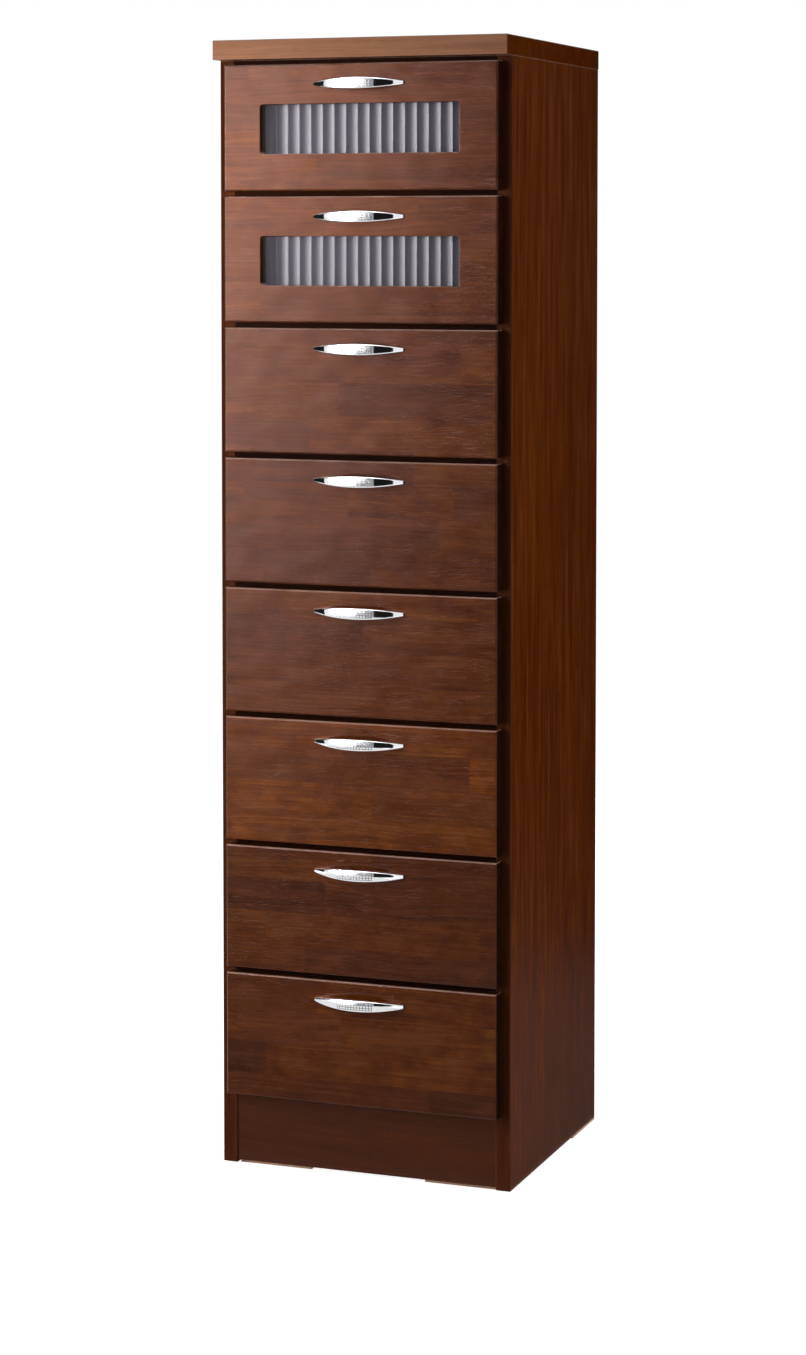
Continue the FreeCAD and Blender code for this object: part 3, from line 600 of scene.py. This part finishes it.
# Range of the marks, and the smoothest and roughest plating as shares of its roughness
MARKS_RANGE = (0.1, 0.5)
PLATING_SHARES = (0.6, 1.5)

# Roughness of the plated pieces
PULL_ROUGH = 0.06
PAD_ROUGH = 0.07
GROUND_ROUGH = 0.35
SCREW_ROUGH = 0.3


def plated_metal(name, colour, rough, marks_size):
    """Plated metal with faint wiping marks."""
    material, tree, shader = new_material(name)
    place = add_node(tree, "TexCoord").outputs["Object"]
    marks = noise(tree, place, 1.0, marks_size, 3.0)
    haze = noise(tree, place, HAZE_SCALE, detail=2.0)
    dull = [channel * HAZE_SHARE for channel in colour]
    tree.links.new(blend_colour(tree, haze, opaque(colour), opaque(dull)), shader.inputs["Base Color"])
    value = calculate(tree, "MULTIPLY", marks, haze)
    smoothest, roughest = (rough * share for share in PLATING_SHARES)
    polish = spread(tree, value, *MARKS_RANGE, smoothest, roughest)
    tree.links.new(polish, shader.inputs["Roughness"])
    shader.inputs["Metallic"].default_value = 1.0
    return material


# Size, stretch and lightness of the panes' clouds, and size and depth of their frost
CLOUD_SCALE = 26.0
CLOUD_STRETCH = (1, 1, 0.6)
CLOUD_SHARE = 1.1
FROST_SCALE = 900.0
FROST_DEPTH = 0.00002

# The panes' range of clouds, roughness, refraction, gloss and share of clear glass
CLOUD_RANGE = (0.3, 0.7)
PANE_ROUGH = (0.2, 0.23)
PANE_REFRACTION = 1.49
PANE_GLOSS = 0.05
PANE_CLEAR = 0.12


def reeded_glass(name, colour):
    """The obscured panes: a grey, slightly clouded plate."""
    material, tree, shader = new_material(name)
    place = add_node(tree, "TexCoord").outputs["Object"]
    cloud = noise(tree, place, CLOUD_SCALE, CLOUD_STRETCH, 4.0)
    pale = [min(1.0, channel * CLOUD_SHARE) for channel in colour]
    tree.links.new(blend_colour(tree, cloud, opaque(colour), opaque(pale)), shader.inputs["Base Color"])
    tree.links.new(spread(tree, cloud, *CLOUD_RANGE, *PANE_ROUGH), shader.inputs["Roughness"])
    shader.inputs["IOR"].default_value = PANE_REFRACTION
    shader.inputs["Specular IOR Level"].default_value = PANE_GLOSS
    shader.inputs["Transmission Weight"].default_value = PANE_CLEAR
    add_relief(tree, shader, noise(tree, place, FROST_SCALE, detail=2.0), FROST_DEPTH)
    return material


# Pieces

def dress(node, material):
    """Gives a frame node its material."""
    mesh = NODES[node].data
    mesh.materials.clear()
    mesh.materials.append(material)


def add_piece(name, bm, material, body):
    """Makes an object of a bmesh, set to ride on its body."""
    mesh = bpy.data.meshes.new(name)
    bm.to_mesh(mesh)
    bm.free()
    mesh.materials.append(material)
    piece = bpy.data.objects.new(name, mesh)
    bpy.context.scene.collection.objects.link(piece)
    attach(piece, body)


def bow_centre(low, high, tip):
    """Radius of a pull's outer bow and the Y of its centre, from its box and its tip's thickness."""
    half = (high.x - low.x) / 2
    rise = high.y - low.y - tip
    radius = (half * half + rise * rise) / (2 * rise)
    return radius, low.y + radius


def crowned_spot(metal, low, high, along, lift):
    """A point on a pull's crowned bow, by its way along the bow and its height, and the way out of it."""
    radius, centre_y = bow_centre(low, high, metal.tip_thickness)
    middle = (low + high) / 2
    angle = along / radius
    tilt = math.asin(lift / metal.crown_radius)
    reach = radius - metal.crown_radius * (1 - math.cos(tilt))
    ahead = Vector((math.sin(angle), -math.cos(angle), 0))
    spot = Vector((middle.x, centre_y, middle.z + lift)) + ahead * reach
    return spot, ahead * math.cos(tilt) + Vector((0, 0, math.sin(tilt)))


# Faces of the ground for each pad, and the width of a pad's top as a share of its foot
GROUND_STEPS = 4
PAD_TAPER = 0.8


def add_grip_ground(bm, metal, low, high):
    """The thin curved plate that the grip pads stand on."""
    wide = metal.pad_columns * metal.pad_pitch + metal.pad_gap
    tall = metal.pad_rows * metal.pad_row_pitch + metal.pad_gap
    columns = GROUND_STEPS * metal.pad_columns
    rows = GROUND_STEPS * metal.pad_rows
    bmesh.ops.create_grid(bm, x_segments=columns, y_segments=rows, size=0.5)
    for vert in bm.verts:
        spot, outward = crowned_spot(metal, low, high, vert.co.x * wide, vert.co.y * tall)
        vert.co = spot + outward * metal.ground_height
    bmesh.ops.recalc_face_normals(bm, faces=bm.faces)
    bmesh.ops.solidify(bm, geom=bm.faces[:], thickness=metal.ground_depth)


def add_grip_pads(bm, metal, low, high):
    """Rows of small raised pads on the middle of a pull's face."""
    square = Matrix.Rotation(math.pi / 4, 4, "Z")
    corner = math.sqrt(0.5)
    stretch = Matrix.Diagonal((metal.pad_row_pitch - metal.pad_gap, metal.pad_pitch - metal.pad_gap, 1, 1))
    for column in range(metal.pad_columns):
        along = (column - (metal.pad_columns - 1) / 2) * metal.pad_pitch
        for row in range(metal.pad_rows):
            lift = (row - (metal.pad_rows - 1) / 2) * metal.pad_row_pitch
            spot, outward = crowned_spot(metal, low, high, along, lift)
            turn = outward.to_track_quat("Z", "X").to_matrix().to_4x4()
            bmesh.ops.create_cone(
                bm, cap_ends=True, segments=4, radius1=corner, radius2=corner * PAD_TAPER,
                depth=metal.pad_height * 2, matrix=Matrix.Translation(spot) @ turn @ stretch @ square,
            )


class CHEST_OT_finish_case(bpy.types.Operator):
    """Stains the case and gives its hidden boards their bare wood"""

    bl_idname = "chest.finish_case"
    bl_label = "Finish the case"

    def execute(self, context):
        wood, metal, _ = settings_of(context)
        make_groups()
        panel = (wood.panel_dark, wood.panel_mid, wood.panel_light)
        top = (wood.top_dark, wood.top_mid, wood.top_light)
        plinth = (wood.front_dark, wood.plinth_mid, wood.front_mid)
        shaded_rail = (wood.shaded_rail_dark, wood.shaded_rail_mid, wood.shaded_rail_light)
        pale = (wood.pale_dark, wood.pale_mid, wood.pale_light)
        ply = (wood.ply_dark, wood.ply_light)
        lit_foot = (wood.lit_foot_dark, wood.lit_foot_light)
        # The panels' front edges take the darker plinth tones: painted shade cast by the drawer fronts.
        upright = stained_wood(
            "stained_side_panels", wood, panel, "Z", ends=[("Y", plinth)], shares=PANEL_FIGURE, streak=2.8,
            contrast=1.9, rough=0.4, gloss=0.05,
        )
        dress("side_panel_left", upright)
        dress("side_panel_right", upright)
        # The top is lighter than the panels and its front and back edges lighter still: painted sheen. Its
        # side ends keep the panels' tones.
        top_ends = [("X", panel), ("Y", (wood.top_edge_sheen_dark, wood.top_edge_sheen_mid, wood.top_edge_sheen_light))]
        dress("top_board", stained_wood("stained_top_painted_sheen", wood, top, "X", ends=top_ends, gloss=0.024))
        dress("plinth_boards", stained_wood("stained_plinth", wood, plinth, "X"))
        # The rails' near-black stain is painted shade in the gaps between the drawers.
        dress("cross_rails", stained_wood("rails_painted_shade", wood, shaded_rail, "X", rough=0.5, gloss=0.02))
        dress("drawer_runners", plain_wood("bare_runners", pale, "Y"))
        dress("base_board", plywood("base_plywood", wood, ply, "X", "Z"))
        # The feet's paler plies carry painted light besides their own pale tone.
        dress("corner_feet", plywood("feet_plywood_painted_light", wood, lit_foot, "X", "Z"))
        dress("back_panel", plywood("back_plywood", wood, ply, "Z", "Y"))
        dress("top_screws", plated_metal("zinc_top_screws", metal.steel, SCREW_ROUGH, SCREW_MARKS))
        return {"FINISHED"}


class CHEST_OT_finish_fronts(bpy.types.Operator):
    """Stains the drawer fronts, glued up from finger-jointed staves"""

    bl_idname = "chest.finish_fronts"
    bl_label = "Finish the drawer fronts"

    def execute(self, context):
        wood, _, _ = settings_of(context)
        make_groups()
        tones = (wood.front_dark, wood.front_mid, wood.front_light)
        # The fronts' side ends take the near-black rail tones: painted shade beside the side panels.
        ends = [("X", (wood.shaded_rail_dark, wood.shaded_rail_mid, wood.shaded_rail_light))]
        for number, shade in zip(DRAWERS, wood.front_shades):
            warm = [Vector(tone) * shade for tone in tones]
            cool = [Vector(wood.front_cool) * shade * step for step in COOL_STEPS]
            stain = stained_wood(
                f"stained_front_{number}", wood, warm, "X", cool, ends, shares=FRONT_FIGURE,
                contrast=2.0, waves=9.0,
            )
            dress(f"drawer_{number}_front", stain)
        return {"FINISHED"}


class CHEST_OT_finish_boxes(bpy.types.Operator):
    """Gives the drawer boxes their bare pale wood and thin plywood bottoms"""

    bl_idname = "chest.finish_boxes"
    bl_label = "Finish the drawer boxes"

    def execute(self, context):
        wood, _, _ = settings_of(context)
        make_groups()
        pale = (wood.pale_dark, wood.pale_mid, wood.pale_light)
        sides = plain_wood("bare_box_sides", pale, "Y")
        backs = plain_wood("bare_box_backs", pale, "X")
        bottoms = plywood("box_bottom_plywood", wood, (wood.ply_dark, wood.ply_light), "Y", "Z")
        for number in DRAWERS:
            dress(f"drawer_{number}_sides", sides)
            dress(f"drawer_{number}_back", backs)
            dress(f"drawer_{number}_bottom", bottoms)
        return {"FINISHED"}


class CHEST_OT_dress_pulls(bpy.types.Operator):
    """Plates the bow pulls and adds the grip pads on their faces"""

    bl_idname = "chest.dress_pulls"
    bl_label = "Dress the pulls"

    def execute(self, context):
        _, metal, _ = settings_of(context)
        chrome = plated_metal("chrome_plate", metal.chrome, PULL_ROUGH, PULL_MARKS)
        satin = plated_metal("satin_chrome_pads", metal.chrome, PAD_ROUGH, PAD_MARKS)
        # The ground's darker plating is painted shade in the grooves between the pads.
        ground = plated_metal("grip_ground_painted_shade", metal.grip_shade, GROUND_ROUGH, PAD_MARKS)
        for number in DRAWERS:
            node = f"drawer_{number}_handle"
            dress(node, chrome)
            for part, builder, material in (
                ("ground", add_grip_ground, ground), ("pads", add_grip_pads, satin),
            ):
                bm = bmesh.new()
                builder(bm, metal, *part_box(node))
                add_piece(f"drawer_{number}_grip_{part}", bm, material, f"drawer_{number}")
        return {"FINISHED"}


class CHEST_OT_dress_panes(bpy.types.Operator):
    """Gives the window drawers their reeded panes"""

    bl_idname = "chest.dress_panes"
    bl_label = "Dress the panes"

    def execute(self, context):
        _, metal, _ = settings_of(context)
        glass = reeded_glass("reeded_pane_glass", metal.pane)
        for number in WINDOW_DRAWERS:
            dress(f"drawer_{number}_pane", glass)
        return {"FINISHED"}


class CHEST_OT_finish_screws(bpy.types.Operator):
    """Plates the drawers' screws"""

    bl_idname = "chest.finish_screws"
    bl_label = "Finish the screws"

    def execute(self, context):
        _, metal, _ = settings_of(context)
        zinc = plated_metal("zinc_drawer_screws", metal.steel, SCREW_ROUGH, SCREW_MARKS)
        for number in DRAWERS:
            dress(f"drawer_{number}_screws", zinc)
        return {"FINISHED"}


# Soft lights: place, target, width, height and the setting of their brightness
LAMPS = {
    "key_light": ((-1.45, -1.45, 1.2), (0, -0.18, 1.1), 1.3, 1.7, "key_glow"),
    "top_light": ((-0.3, -0.8, 3.1), (0, 0, 0.8), 1.4, 1.2, "top_glow"),
    "side_light": ((0.8, -0.2, 0.95), (0.2, -0.2, 0.95), 0.25, 1.9, "side_glow"),
    "back_light": ((0.7, 2.4, 1.5), (0, 0.2, 0.7), 1.6, 1.6, "back_glow"),
    "pane_light": ((1.62, -1.94, 1.3), (-0.15, -0.165, 1.27), 0.2, 0.3, "pane_glow"),
}

# Lamps that reflections show, and the beam's angle of those with a narrow one
MIRRORED_LAMPS = ("top_light",)
NARROW_BEAMS = {"pane_light": 0.16}

# Cards that only reflections show: centre, the way they face, width, height and glow
CARDS = {
    "camera_side_flag": ((0.64, -2.04, 1.3), (-0.33, 0.944, 0), 0.89, 2.6, 0.01),
    "grey_flag": ((0.05, -2.19, 1.3), (0, 1, 0), 0.35, 2.6, 0.4),
    "left_flag": ((-2.6, -0.7, 1.2), (1, 0, 0), 1.3, 2.4, 0.01),
    "left_screen": ((-1.352, -0.19, 0.75), (0, 1, 0), 2.3, 1.46, 0.25),
    "top_screen": ((0, -0.19, 2.0355), (0, 1, 0), 5.0, 1.13, 0.25),
    "floor_flag": ((-0.55, -1.7, 0.004), (0, 0, 1), 2.2, 3.0, 0.92),
    "rear_flag": ((2.0, 3.2, 1.75), (0, -1, 0), 5.0, 3.5, 0.005),
    "rear_floor_flag": ((1.7, 2.3, 0.004), (0, 0, 1), 3.0, 2.4, 0.02),
    "near_floor_flag": ((1.7, 0.3, 0.004), (0, 0, 1), 3.0, 1.6, 0.3),
}

# The bright card that the varnish mirrors: centre, the way it faces, width and height
SHEEN_CARD = ((-1.815, -2.37, 1.3), (0, 1, 0), 3.37, 2.6)

# The sheen card's glow: rising to the left, brighter further out, fading at its end and downward
SHEEN_RISE = (-0.58, -1.3, 0.065, 1.15)
SHEEN_FAR = (-1.5, -2.3, 0.0, 1.6)
SHEEN_END = (-2.5, -3.0, 1.0, 0.15)
SHEEN_FALL = {"From Min": 0.1, "From Max": 1.4, "To Min": 0.14, "To Max": 1.0}

# Half the floor's width, and the white that camera and reflections see on it
FLOOR_REACH = 3.6
FLOOR_WHITE = 0.9
WHITE = (1, 1, 1, 1)

# The camera's sensor in millimetres
SENSOR_WIDTH = 36


def soft_light(name, place, target, wide, high, glow):
    """A rectangular soft light; glow is its brightness where white is 1."""
    lamp = bpy.data.lights.new(name, "AREA")
    lamp.shape = "RECTANGLE"
    lamp.size, lamp.size_y = wide, high
    lamp.energy = glow * math.pi * wide * high
    lamp.spread = NARROW_BEAMS.get(name, math.pi)
    holder = bpy.data.objects.new(name, lamp)
    bpy.context.scene.collection.objects.link(holder)
    holder.location = place
    holder.rotation_euler = (Vector(target) - Vector(place)).to_track_quat("-Z", "Y").to_euler()
    holder.visible_camera = False
    holder.visible_glossy = name in MIRRORED_LAMPS


def seen_share(tree, share):
    """A share for camera, glossy and transmission rays, and nothing for the light on the object."""
    path = add_node(tree, "LightPath").outputs
    seen = calculate(tree, "MAXIMUM", path["Is Camera Ray"], path["Is Glossy Ray"])
    seen = calculate(tree, "MAXIMUM", seen, path["Is Transmission Ray"])
    return calculate(tree, "MULTIPLY", seen, share)


def add_stage_piece(name, bm):
    """Makes a stage object of a bmesh, and gives it with the empty node tree of its material."""
    mesh = bpy.data.meshes.new(name)
    bm.to_mesh(mesh)
    bm.free()
    piece = bpy.data.objects.new(name, mesh)
    bpy.context.scene.collection.objects.link(piece)
    material = bpy.data.materials.new(name)
    material.use_nodes = True
    material.node_tree.nodes.clear()
    mesh.materials.append(material)
    return piece, material.node_tree


def make_floor(stage):
    """A pale floor that keeps the chest's shadow."""
    bm = bmesh.new()
    bmesh.ops.create_grid(bm, x_segments=1, y_segments=1, size=FLOOR_REACH)
    floor, tree = add_stage_piece("studio_floor", bm)
    paper = add_node(tree, "BsdfDiffuse", {"Color": opaque(stage.floor_colour)})
    white = add_node(tree, "Emission", {"Color": WHITE, "Strength": seen_share(tree, FLOOR_WHITE)})
    both = add_node(tree, "AddShader", {0: paper.outputs[0], 1: white.outputs[0]})
    end = add_node(tree, "OutputMaterial")
    tree.links.new(both.outputs[0], end.inputs["Surface"])


def graded_glow(tree, glow):
    """A glow that fades to both sides and downward."""
    place = add_node(tree, "TexCoord").outputs["Object"]
    parts = add_node(tree, "SeparateXYZ", {"Vector": place}).outputs
    rise = spread(tree, parts["X"], *SHEEN_RISE)
    across = calculate(tree, "ADD", rise, spread(tree, parts["X"], *SHEEN_FAR))
    across = calculate(tree, "MULTIPLY", across, spread(tree, parts["X"], *SHEEN_END))
    upward = add_node(tree, "MapRange", {"Value": parts["Z"], **SHEEN_FALL}).outputs[0]
    return calculate(tree, "MULTIPLY", calculate(tree, "MULTIPLY", across, upward), glow)


def make_card(name, centre, facing, wide, high, glow, graded=False):
    """A card that only reflections show, as a photographer sets one to brighten or darken a gloss."""
    bm = bmesh.new()
    turn = Vector(facing).to_track_quat("Z", "Y").to_matrix().to_4x4()
    stretch = Matrix.Diagonal((wide / 2, high / 2, 1, 1))
    bmesh.ops.create_grid(
        bm, x_segments=1, y_segments=1, size=1, matrix=Matrix.Translation(centre) @ turn @ stretch,
    )
    card, tree = add_stage_piece(name, bm)
    strength = graded_glow(tree, glow) if graded else glow
    white = add_node(tree, "Emission", {"Color": WHITE, "Strength": strength})
    end = add_node(tree, "OutputMaterial")
    tree.links.new(white.outputs[0], end.inputs["Surface"])
    card.visible_camera = False
    card.visible_diffuse = False
    card.visible_shadow = False


def make_world(stage):
    """A world that is white to look at and dim as a light."""
    world = bpy.data.worlds.new("studio")
    world.use_nodes = True
    tree = world.node_tree
    tree.nodes.clear()
    shade = opaque([stage.ambient] * 3)
    dim = add_node(tree, "Background", {"Color": shade, "Strength": 1.0})
    white = add_node(tree, "Background", {"Color": WHITE, "Strength": 1.0})
    both = add_node(tree, "MixShader", {
        "Fac": seen_share(tree, 1.0), 1: dim.outputs[0], 2: white.outputs[0],
    })
    end = add_node(tree, "OutputWorld")
    tree.links.new(both.outputs[0], end.inputs["Surface"])
    return world


def make_camera(stage):
    """A camera at the photograph's viewing angle."""
    lens = bpy.data.cameras.new("photo_camera")
    lens.sensor_fit = "AUTO"
    lens.sensor_width = SENSOR_WIDTH
    lens.lens = stage.camera_lens
    lens.shift_y = stage.camera_shift
    camera = bpy.data.objects.new("photo_camera", lens)
    bpy.context.scene.collection.objects.link(camera)
    camera.location = stage.camera_place
    camera.rotation_euler = (math.pi / 2 - stage.camera_pitch, 0, stage.camera_yaw)
    return camera


class CHEST_OT_set_stage(bpy.types.Operator):
    """Sets the floor, the soft lights, the white background and the camera"""

    bl_idname = "chest.set_stage"
    bl_label = "Set the stage"

    def execute(self, context):
        _, _, stage = settings_of(context)
        scene = context.scene
        make_floor(stage)
        for name, (place, target, wide, high, glow) in LAMPS.items():
            soft_light(name, place, target, wide, high, getattr(stage, glow))
        make_card("sheen_card", *SHEEN_CARD, stage.sheen_glow, graded=True)
        for name, card in CARDS.items():
            make_card(name, *card)
        scene.world = make_world(stage)
        scene.camera = make_camera(stage)
        scene.view_settings.view_transform = "Standard"
        return {"FINISHED"}


STEPS = (
    CHEST_OT_finish_case, CHEST_OT_finish_fronts, CHEST_OT_finish_boxes, CHEST_OT_dress_pulls,
    CHEST_OT_dress_panes, CHEST_OT_finish_screws, CHEST_OT_set_stage,
)


class CHEST_PT_finish(bpy.types.Panel):
    """Lists the finishing steps and their settings"""

    bl_idname = "CHEST_PT_finish"
    bl_label = "Chest of drawers"
    bl_space_type = "VIEW_3D"
    bl_region_type = "UI"
    bl_category = "Chest"

    def draw(self, context):
        for step in STEPS:
            self.layout.operator(step.bl_idname)
        for group in settings_of(context):
            box = self.layout.box()
            for name in group.__annotations__:
                box.prop(group, name)


SETTINGS = {
    "chest_wood": ChestWoodSettings, "chest_metal": ChestMetalSettings, "chest_stage": ChestStageSettings,
}


def register():
    for item in (*SETTINGS.values(), *STEPS, CHEST_PT_finish):
        bpy.utils.register_class(item)
    for name, group in SETTINGS.items():
        setattr(bpy.types.Scene, name, PointerProperty(type=group))


def unregister():
    for name in SETTINGS:
        delattr(bpy.types.Scene, name)
    for item in (CHEST_PT_finish, *STEPS, *SETTINGS.values()):
        bpy.utils.unregister_class(item)


def main():
    register()
    bpy.ops.chest.finish_case()
    bpy.ops.chest.finish_fronts()
    bpy.ops.chest.finish_boxes()
    bpy.ops.chest.dress_pulls()
    bpy.ops.chest.dress_panes()
    bpy.ops.chest.finish_screws()
    bpy.ops.chest.set_stage()


if __name__ == "__main__":
    main()
